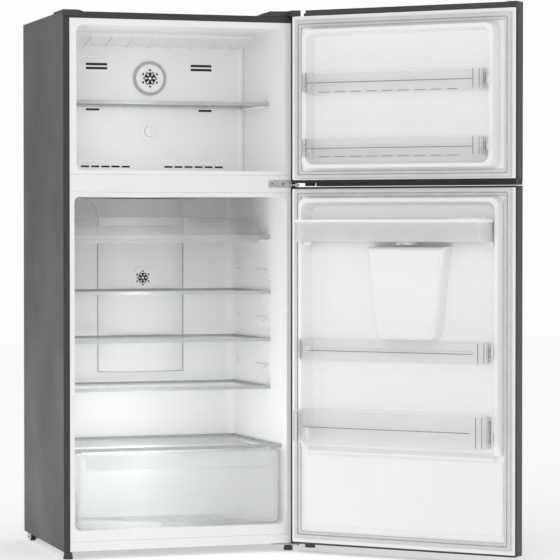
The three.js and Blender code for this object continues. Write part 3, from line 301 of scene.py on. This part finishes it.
def shelf_glass():
    look = Look("shelf_glass", {"Alpha": 0.16, "IOR": 1.52, "Specular IOR Level": 0.5})
    look.colour(look.noise(6, 2), (0.78, 0.83, 0.81), (0.84, 0.88, 0.86))
    look.rough(look.noise(10, 5), 0.02, 0.07, 0.45, 0.75)
    return look.material


def clear_plastic(name, alpha, shade=1.0):
    look = Look(name, {"Alpha": alpha, "IOR": 1.49, "Specular IOR Level": 0.7})
    low = [shade * part for part in (0.88, 0.895, 0.90)]
    high = [shade * part for part in (0.93, 0.94, 0.945)]
    look.colour(look.noise(9, 3), low, high)
    look.rough(look.noise(16, 4), 0.05, 0.14)
    return look.material


def gasket_rubber():
    look = Look("gasket_rubber", {"Sheen Weight": 0.1})
    look.colour(look.noise(20, 4), (0.63, 0.63, 0.627), (0.69, 0.69, 0.687))
    look.rough(look.noise(35, 3), 0.5, 0.65)
    look.bump(look.noise(500, 2), 0.00012)
    return look.material


def moulded_plastic(name, low, high, rough):
    look = Look(name, {"Specular IOR Level": 0.45})
    look.colour(look.noise(14, 4), low, high)
    look.rough(look.noise(25, 3), *rough)
    look.bump(look.cells(650, feature="SMOOTH_F1"), 0.00012)
    look.bump(look.noise(1500, 2), 0.00006)
    return look.material


def foam():
    look = Look("foam", {"Roughness": 0.9, "Subsurface Weight": 0.05})
    look.colour(look.noise(30, 5), (0.62, 0.52, 0.28), (0.75, 0.66, 0.40))
    look.bump(look.cells(220), 0.0008)
    return look.material


def pump_enamel():
    look = Look("pump_steel", {"Metallic": 0.1, "Coat Weight": 0.4, "Coat Roughness": 0.2})
    look.colour(look.noise(10, 4), (0.012, 0.012, 0.013), (0.022, 0.022, 0.022))
    look.rough(look.noise(15, 4), 0.28, 0.5)
    look.bump(look.noise(120, 3), 0.0002)
    return look.material


def coil_aluminium():
    look = Look("coil_aluminium", {"Metallic": 0.95})
    look.colour(look.noise(25, 3), (0.60, 0.61, 0.62), (0.72, 0.72, 0.73))
    look.rough(look.noise(60, 2, (1, 1, 8)), 0.25, 0.45)
    look.bump(look.waves(160, "X"), 0.0004)
    return look.material


MATERIALS = {
    "painted_steel": painted_steel(),
    "zinc_steel": zinc_steel(),
    "white_plastic": white_plastic(),
    "trim_plastic": trim_plastic(),
    "shelf_glass": shelf_glass(),
    "clear_plastic": clear_plastic("clear_plastic", 0.1),
    "gasket_rubber": gasket_rubber(),
    "dark_plastic": moulded_plastic(
        "dark_plastic", (0.044, 0.043, 0.042), (0.058, 0.057, 0.056), (0.38, 0.5)
    ),
    "black_plastic": moulded_plastic(
        "black_plastic", (0.008, 0.008, 0.009), (0.016, 0.016, 0.017), (0.4, 0.55)
    ),
    "foam": foam(),
    "pump_steel": pump_enamel(),
    "coil_aluminium": coil_aluminium(),
}

FROSTED = clear_plastic("frosted_plastic", 0.42)
THIN_CLEAR = clear_plastic("thin_clear_plastic", 0.13)
# Darker, more opaque copies for the rounded edges of clear parts: painted shade for how clear edges look
# in the light.
CLEAR_EDGE_SHADE = clear_plastic("clear_edge_shade", 0.75, 0.65)
GLASS_EDGE_TINT_AND_SHADE = clear_plastic("glass_edge_tint_and_shade", 0.7, 0.5)
BADGE_GREY = moulded_plastic("badge_grey", (0.42, 0.42, 0.42), (0.5, 0.5, 0.5), (0.3, 0.4))
CHILL_PLASTIC = clear_plastic("chill_plastic", 0.5, 0.62)

# Nodes that differ from their slot's own material.
FINISH = {
    "chill_shelf": CHILL_PLASTIC,
    "crisper_drawer": FROSTED,
    "water_tank": FROSTED,
    "chill_tray": THIN_CLEAR,
    # The two door caps that face each other across the gap between the doors take the black material as
    # painted shade: the shadow in that gap is painted into their colour.
    "freezer_door_bottom_cap": MATERIALS["black_plastic"],
    "fridge_door_top_cap": MATERIALS["black_plastic"],
}
# Second materials, for the rounded edges of clear parts: darker, more opaque copies of the clear
# materials, as painted shade for the dark look that light gives clear edges; the glass's edge copy is
# partly the glass's own edge tint.
EDGE_SHADE_AND_TINT = {"clear_plastic": CLEAR_EDGE_SHADE, "shelf_glass": GLASS_EDGE_TINT_AND_SHADE}


# ---------------------------------------------------------------- softened edges

# Bevel widths in millimetres, by slot.
EDGE_ROUNDING = {
    "painted_steel": 1.0,
    "zinc_steel": 0.5,
    "white_plastic": 1.2,
    "trim_plastic": 1.0,
    "shelf_glass": 0.8,
    "clear_plastic": 0.9,
    "gasket_rubber": 1.2,
    "dark_plastic": 1.0,
    "black_plastic": 0.8,
    "foam": 0.0,
    "pump_steel": 1.5,
    "coil_aluminium": 0.0,
}
BEVEL_SEGMENTS = 2
BEVEL_LIMIT = math.radians(42)
SMOOTH_LIMIT = math.radians(38)
FLAT_LIMIT = math.radians(1)
WELD_DISTANCE = 0.00002


def smooth_group():
    """Geometry nodes that shade a mesh smooth except over edges sharper than the limit."""
    group = bpy.data.node_groups.new("smooth_below_limit", "GeometryNodeTree")
    group.interface.new_socket("Geometry", in_out="INPUT", socket_type="NodeSocketGeometry")
    group.interface.new_socket("Geometry", in_out="OUTPUT", socket_type="NodeSocketGeometry")
    source = group.nodes.new("NodeGroupInput")
    target = group.nodes.new("NodeGroupOutput")
    faces = group.nodes.new("GeometryNodeSetShadeSmooth")
    edges = group.nodes.new("GeometryNodeSetShadeSmooth")
    edges.domain = "EDGE"
    edges.inputs["Shade Smooth"].default_value = False
    angle = group.nodes.new("GeometryNodeInputMeshEdgeAngle")
    compare = group.nodes.new("FunctionNodeCompare")
    compare.operation = "GREATER_THAN"
    compare.inputs[1].default_value = SMOOTH_LIMIT
    group.links.new(source.outputs[0], faces.inputs["Geometry"])
    group.links.new(faces.outputs["Geometry"], edges.inputs["Geometry"])
    group.links.new(angle.outputs["Unsigned Angle"], compare.inputs[0])
    group.links.new(compare.outputs["Result"], edges.inputs["Selection"])
    group.links.new(edges.outputs["Geometry"], target.inputs[0])
    return group


SMOOTH = smooth_group()


def soften(piece, rounding):
    """Welds and shades a piece. With a rounding, first merges its facets and rounds its sharp edges."""
    weld = piece.modifiers.new("weld", "WELD")
    weld.merge_threshold = WELD_DISTANCE
    if rounding > 0:
        faces = piece.modifiers.new("faces", "DECIMATE")
        faces.decimate_type = "DISSOLVE"
        faces.angle_limit = FLAT_LIMIT
        bevel = piece.modifiers.new("rounding", "BEVEL")
        bevel.width = rounding * MM
        bevel.segments = BEVEL_SEGMENTS
        bevel.limit_method = "ANGLE"
        bevel.angle_limit = BEVEL_LIMIT
        bevel.use_clamp_overlap = True
        bevel.miter_outer = "MITER_ARC"
        bevel.material = len(piece.material_slots) - 1
    smooth = piece.modifiers.new("smooth", "NODES")
    smooth.node_group = SMOOTH
    weighted = piece.modifiers.new("weighted", "WEIGHTED_NORMAL")
    weighted.keep_sharp = True


# Flat sheets with ribs or slots keep the CAD's own edges.
SHARP_PIECES = {"back_panel", "compressor_cover", "freezer_back_cover"}

slot_of = {subpart["node"]: subpart["material_slot"] for subpart in frame["record"]["subparts"]}
for name, node in NODES.items():
    slot_name = slot_of[name]
    node.data.materials.clear()
    node.data.materials.append(FINISH.get(name, MATERIALS[slot_name]))
    if slot_name in EDGE_SHADE_AND_TINT:
        node.data.materials.append(EDGE_SHADE_AND_TINT[slot_name])
    soften(node, 0 if name in SHARP_PIECES else EDGE_ROUNDING[slot_name])


# ---------------------------------------------------------------- added pieces


def add_piece(name, body, finish, mesh, space=CABINET_FRAME):
    """A new piece drawn in millimetres in the given space, riding on a body."""
    mesh.transform(space)
    piece = bpy.data.objects.new(name, mesh)
    bpy.context.scene.collection.objects.link(piece)
    mesh.materials.append(finish)
    soften(piece, 0)
    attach(piece, body)


def extruded(outlines, y0, y1):
    """Closed (x, z) outlines pushed along y, as one mesh of separate shells."""
    form = bmesh.new()
    for outline in outlines:
        front = [form.verts.new((x, y0, z)) for x, z in outline]
        back = [form.verts.new((x, y1, z)) for x, z in outline]
        form.faces.new(front)
        form.faces.new(list(reversed(back)))
        for i in range(len(outline)):
            j = (i + 1) % len(outline)
            form.faces.new((front[j], front[i], back[i], back[j]))
    bmesh.ops.recalc_face_normals(form, faces=form.faces)
    mesh = bpy.data.meshes.new("outline")
    form.to_mesh(mesh)
    form.free()
    return mesh


def turned(profile, centre, sides):
    """A closed (radius, y) profile turned about a y axis through centre (x, z)."""
    form = bmesh.new()
    rings = []
    for i in range(sides):
        turn = 2 * math.pi * i / sides
        ring = []
        for radius, y in profile:
            x = centre[0] + radius * math.sin(turn)
            z = centre[1] + radius * math.cos(turn)
            ring.append(form.verts.new((x, y, z)))
        rings.append(ring)
    for i in range(sides):
        near, far = rings[i], rings[(i + 1) % sides]
        for k in range(len(profile)):
            n = (k + 1) % len(profile)
            form.faces.new((near[k], near[n], far[n], far[k]))
    bmesh.ops.recalc_face_normals(form, faces=form.faces)
    mesh = bpy.data.meshes.new("turned")
    form.to_mesh(mesh)
    form.free()
    return mesh


# Shapes of one snowflake arm as (along the arm, across it), in shares of the snowflake's size.
ARM = [(0.16, 0.12), (0.66, 0.12), (0.66, -0.12), (0.16, -0.12)]
LOZENGE = [(0.78, 0), (0.9, 0.168), (1.02, 0), (0.9, -0.168)]
RIGHT_BARB = [(0.42, 0.132), (0.62, 0.332), (0.74, 0.332), (0.54, 0.132)]
LEFT_BARB = [(along, -across) for along, across in RIGHT_BARB]
ARM_COUNT = 6


def snowflake_outlines(centre_z, size):
    """Barbed arms, each with a small lozenge at its tip, round the point (0, centre_z)."""
    outlines = []
    for i in range(ARM_COUNT):
        turn = 2 * math.pi * i / ARM_COUNT
        for shape in (ARM, LOZENGE, RIGHT_BARB, LEFT_BARB):
            outline = []
            for along, across in shape:
                x = size * (along * math.sin(turn) + across * math.cos(turn))
                z = centre_z + size * (along * math.cos(turn) - across * math.sin(turn))
                outline.append((x, z))
            outlines.append(outline)
    return outlines


FREEZER_BADGE = {"z": 1518, "face": 385.2, "size": 30}
FRIDGE_BADGE = {"z": 863, "face": 481.2, "size": 25}
# How far each emblem's two sides stand in front of its badge's face.
EMBLEM_FRONT = 0.7
EMBLEM_BACK = 0.1
for name, badge in (("freezer_emblem", FREEZER_BADGE), ("fridge_emblem", FRIDGE_BADGE)):
    outlines = snowflake_outlines(badge["z"], badge["size"])
    mesh = extruded(outlines, badge["face"] - EMBLEM_FRONT, badge["face"] - EMBLEM_BACK)
    add_piece(name, "cabinet", MATERIALS["black_plastic"], mesh)


# ---------------------------------------------------------------- bin trims

LINE_GREY = moulded_plastic("line_grey", (0.20, 0.20, 0.205), (0.25, 0.25, 0.255), (0.25, 0.35))
# Small corners need only a few steps.
SMALL_STEPS = 2
# Measures shared by the door bins: where their backs stand, and the radius of their front corners.
BIN_BACK = -2
BIN_CORNER = 24
# The grey line under the rail, painted shade for the rail's shaded underside: the rail's height as a
# share of the bin's, then the line's own measures.
RAIL_SHARE = 0.55
RAIL_LINE_DROP = 3.2
RAIL_LINE_TALL = 2.4
RAIL_LINE_HALF = 280
RAIL_LINE_CORNER = 1.1
# Two frames on each end, one in the other: (near, far, up from the bottom, down from the top).
CLIP_FRAMES = ((45, 62, 8, 5), (48.5, 58.5, 20, 16))
CLIP_LINE = 1.8
CLIP_OUTER_CORNER = 4
CLIP_INNER_CORNER = 2.4
CLIP_GAP = 0.15
CLIP_THICK = 0.9
# Corner ribs: (degrees round the corner, width).
CORNER_RIBS = ((6, 2.0), (52, 1.5))
RIB_UP = 5
RIB_DOWN = 3
RIB_CORNER = 0.7
DRAIN_STARTS = range(-232, 232, 54)
DRAIN_LENGTH = 36
DRAIN_LOW = 2.6
DRAIN_HIGH = 4.8
DRAIN_CORNER = 1
# How far a trim starts behind the bin's face, and how far it stands out in front.
RAIL_LINE_REACH = (0.2, 1.9)
RIB_REACH = (0.4, 1.3)
DRAIN_REACH = (0.1, 0.6)
BINS = {
    "freezer_bin_upper": {"front": 303, "z": 1446, "tall": 68, "deep": 92, "slots": True},
    "freezer_bin_lower": {"front": 303, "z": 1246, "tall": 62, "deep": 92, "slots": True},
    "fridge_bin_upper": {"front": 320, "z": 616, "tall": 66, "deep": 92, "slots": False},
    "fridge_bin_lower": {"front": 322, "z": 359, "tall": 102, "deep": 112, "slots": False},
}


def rounded_outline(left, right, low, high, radius, steps=5):
    corners = (
        ((right - radius, low + radius), -90),
        ((right - radius, high - radius), 0),
        ((left + radius, high - radius), 90),
        ((left + radius, low + radius), 180),
    )
    points = []
    for (u, v), start in corners:
        for i in range(steps + 1):
            turn = math.radians(start + 90 * i / steps)
            points.append((u + radius * math.cos(turn), v + radius * math.sin(turn)))
    return points


def framed(outer, inner, place):
    """A flat ring between two outlines. place turns (u, v, depth 0 or 1) into a point."""
    form = bmesh.new()
    loops = []
    for line in (outer, inner):
        for depth in (0, 1):
            loops.append([form.verts.new(place(u, v, depth)) for u, v in line])
    outer_low, outer_high, inner_low, inner_high = loops
    around = (outer_low, outer_high, inner_high, inner_low, outer_low)
    count = len(outer)
    for i in range(count):
        j = (i + 1) % count
        for first, second in zip(around, around[1:]):
            form.faces.new((first[i], first[j], second[j], second[i]))
    bmesh.ops.recalc_face_normals(form, faces=form.faces)
    mesh = bpy.data.meshes.new("frame")
    form.to_mesh(mesh)
    form.free()
    return mesh


def merged(meshes):
    form = bmesh.new()
    for mesh in meshes:
        form.from_mesh(mesh)
        bpy.data.meshes.remove(mesh)
    whole = bpy.data.meshes.new("merged")
    form.to_mesh(whole)
    form.free()
    return whole


def on_face(outlines, face, reach):
    """Outlines extruded through a bin's outer face at y = face."""
    behind, in_front = reach
    return extruded(outlines, face - behind, face + in_front)


def clip_frames(side, front, z, tall):
    """The two rings of the clip on one end of a bin, standing out of its end wall."""
    wall = side * (front + CLIP_GAP)

    def place(u, v, depth):
        return (wall + side * CLIP_THICK * depth, u, v)

    rings = []
    for near, far, up, down in CLIP_FRAMES:
        y0, y1, z0, z1 = BIN_BACK + near, BIN_BACK + far, z + up, z + tall - down
        inside = (y0 + CLIP_LINE, y1 - CLIP_LINE, z0 + CLIP_LINE, z1 - CLIP_LINE)
        outer = rounded_outline(y0, y1, z0, z1, CLIP_OUTER_CORNER)
        inner = rounded_outline(*inside, CLIP_INNER_CORNER)
        rings.append(framed(outer, inner, place))
    return rings


def corner_ribs(side, front, face, z, tall):
    """Upright ribs on one rounded corner of a bin."""
    ribs = []
    for turn, width in CORNER_RIBS:
        bend = math.radians(turn)
        x = side * (front - BIN_CORNER + BIN_CORNER * math.sin(bend))
        y = face - BIN_CORNER + BIN_CORNER * math.cos(bend)
        ends = (z + RIB_UP, z + tall - RIB_DOWN)
        rib = rounded_outline(x - width / 2, x + width / 2, *ends, RIB_CORNER, SMALL_STEPS)
        ribs.append(on_face([rib], y, RIB_REACH))
    return ribs


def drain_dashes(z):
    """The row of drain slots along the foot of a bin's face, as outlines."""
    low, high = z + DRAIN_LOW, z + DRAIN_HIGH
    dashes = []
    for x in DRAIN_STARTS:
        dashes.append(rounded_outline(x, x + DRAIN_LENGTH, low, high, DRAIN_CORNER, SMALL_STEPS))
    return dashes


def add_bin_trims(name, front, z, tall, deep, slots):
    """The bin's fittings: a grey line under the rail as painted shade for its underside, a clip on each
    end, corner ribs and drain slots.
    """
    face = BIN_BACK + deep
    top = z + tall * RAIL_SHARE - RAIL_LINE_DROP
    edges = (-RAIL_LINE_HALF, RAIL_LINE_HALF, top - RAIL_LINE_TALL, top)
    rail = rounded_outline(*edges, RAIL_LINE_CORNER, SMALL_STEPS)
    # A grey line under the rail: painted shade for the rail's underside.
    line = on_face([rail], face, RAIL_LINE_REACH)
    add_piece(f"{name}_rail_shade_line", name, LINE_GREY, line, DOOR_FRAME)
    fittings = []
    for side in (1, -1):
        fittings += clip_frames(side, front, z, tall)
        fittings += corner_ribs(side, front, face, z, tall)
    add_piece(f"{name}_end_clips", name, LINE_GREY, merged(fittings), DOOR_FRAME)
    if slots:
        drains = on_face(drain_dashes(z), face, DRAIN_REACH)
        add_piece(f"{name}_drain_slots", name, LINE_GREY, drains, DOOR_FRAME)


for name, sizes in BINS.items():
    add_bin_trims(name, **sizes)


# ---------------------------------------------------------------- painted shade in the cover seam and the air slots, and cap step

# A dark grey frame round the duct cover, where it meets the liner: painted shade for the shadow in the
# seam between them.
SEAM_SHADE_GREY = moulded_plastic("seam_shade_grey", (0.30, 0.30, 0.30), (0.36, 0.36, 0.36), (0.5, 0.6))
SEAM_BACK = 511.6
SEAM_DEPTH = 1.4
# The seam's two outlines: (left, right, low, high, corner).
SEAM_OUTER = (-147.2, 147.2, 550.8, 1056, 1.5)
SEAM_INNER = (-145.3, 145.3, 552.7, 1054, 0.5)
seam_shade = framed(
    rounded_outline(*SEAM_OUTER, SMALL_STEPS),
    rounded_outline(*SEAM_INNER, SMALL_STEPS),
    lambda u, v, depth: (u, SEAM_BACK - SEAM_DEPTH * depth, v),
)
add_piece("duct_cover_seam_shade", "cabinet", SEAM_SHADE_GREY, seam_shade)

# Black strips behind the freezer cover's air slots, a little larger than the slots: painted shade, so
# that the slots look dark inside.
SHADE_MARGIN = 4
SHADE_CORNER = 1
SHADE_FRONT = 397.9
SHADE_BACK = 398.7
# Each air slot: (left, right, low, high).
AIR_SLOTS = (
    (-213, -141, 1545, 1566),
    (141, 213, 1545, 1566),
    (-213, -168, 1411, 1418),
    (168, 213, 1411, 1418),
    (-230, -66, 1226, 1232),
    (51, 251.5, 1226, 1232),
)
strips = []
for left, right, low, high in AIR_SLOTS:
    edges = (left - SHADE_MARGIN, right + SHADE_MARGIN, low - SHADE_MARGIN, high + SHADE_MARGIN)
    strips.append(rounded_outline(*edges, SHADE_CORNER, SMALL_STEPS))
slot_painted_shade = extruded(strips, SHADE_FRONT, SHADE_BACK)
add_piece("freezer_slot_painted_shade", "cabinet", MATERIALS["black_plastic"], slot_painted_shade)

# The low end of the freezer door's top cap, beside the hinge pin: (left, right, low, high, corner).
CAP_STEP = (335.3, 354, 1696.6, 1708, 2)
CAP_STEP_FRONT = -69
CAP_STEP_BACK = -41
cap_end = extruded([rounded_outline(*CAP_STEP, steps=3)], CAP_STEP_FRONT, CAP_STEP_BACK)
add_piece("freezer_cap_step", "freezer_door", MATERIALS["dark_plastic"], cap_end, DOOR_FRAME)


# ---------------------------------------------------------------- hinge screws and badge ring

# A screw head from its middle out, as (distance out, height), in shares of its radius.
DOME = ((0.6, 0.38), (0.9, 0.2), (1, 0))
DOME_TOP = 0.45
# The profile stops just short of the axis, so that its faces stay whole.
NEAR_AXIS = 0.01
HEAD_SIDES = 24
CROSS_ANGLES = (20, 110)
# The cross, black bars standing in as painted shade for the cross recess: half its length and how far
# its two sides stand out, in shares of the head's radius, then half its bars' width in millimetres.
CROSS_REACH = 0.6
CROSS_FRONT = 0.47
CROSS_BACK = 0.3
CROSS_HALF_WIDTH = 0.9
CORNER_SIGNS = ((-1, -1), (1, -1), (1, 1), (-1, 1))
SCREW_PLACES = [(294, 1168.5), (330, 1168.5)]
SCREW_FACE = -4.2
SCREW_RADIUS = 4.4


def add_screws(name, body, places, y, radius):
    """Low domed heads facing -y, each with a cross of black bars just out of the dome as painted shade
    for a cross recess.
    """
    heads = []
    crosses = []
    dome = [(NEAR_AXIS, y - radius * DOME_TOP)]
    dome += [(radius * out, y - radius * height) for out, height in DOME]
    dome.append((NEAR_AXIS, y))
    for x, z in places:
        heads.append(turned(dome, (x, z), HEAD_SIDES))
        for angle in CROSS_ANGLES:
            cosine, sine = math.cos(math.radians(angle)), math.sin(math.radians(angle))
            bar = []
            for first, second in CORNER_SIGNS:
                along = first * CROSS_REACH * radius
                across = second * CROSS_HALF_WIDTH
                bar.append((x + cosine * along - sine * across, z + sine * along + cosine * across))
            crosses.append(bar)
    add_piece(f"{name}_heads", body, MATERIALS["zinc_steel"], merged(heads))
    # Black bars just out of each dome: painted shade for the cross recess.
    recess_shade = extruded(crosses, y - radius * CROSS_FRONT, y - radius * CROSS_BACK)
    add_piece(f"{name}_painted_recess_shade", body, MATERIALS["black_plastic"], recess_shade)


add_screws("mid_hinge_screws", "cabinet", SCREW_PLACES, SCREW_FACE, SCREW_RADIUS)

# The ring round the freezer badge, as (radius, y).
RING_PROFILE = [(46.6, 390.9), (46.6, 389.6), (49, 388.9), (54, 388.9), (56.4, 389.6), (56.4, 390.9)]
RING_SIDES = 64
ring = turned(RING_PROFILE, (0, FREEZER_BADGE["z"]), RING_SIDES)
add_piece("freezer_badge_ring", "cabinet", BADGE_GREY, ring)


# ---------------------------------------------------------------- finish

add_camera()
add_studio()
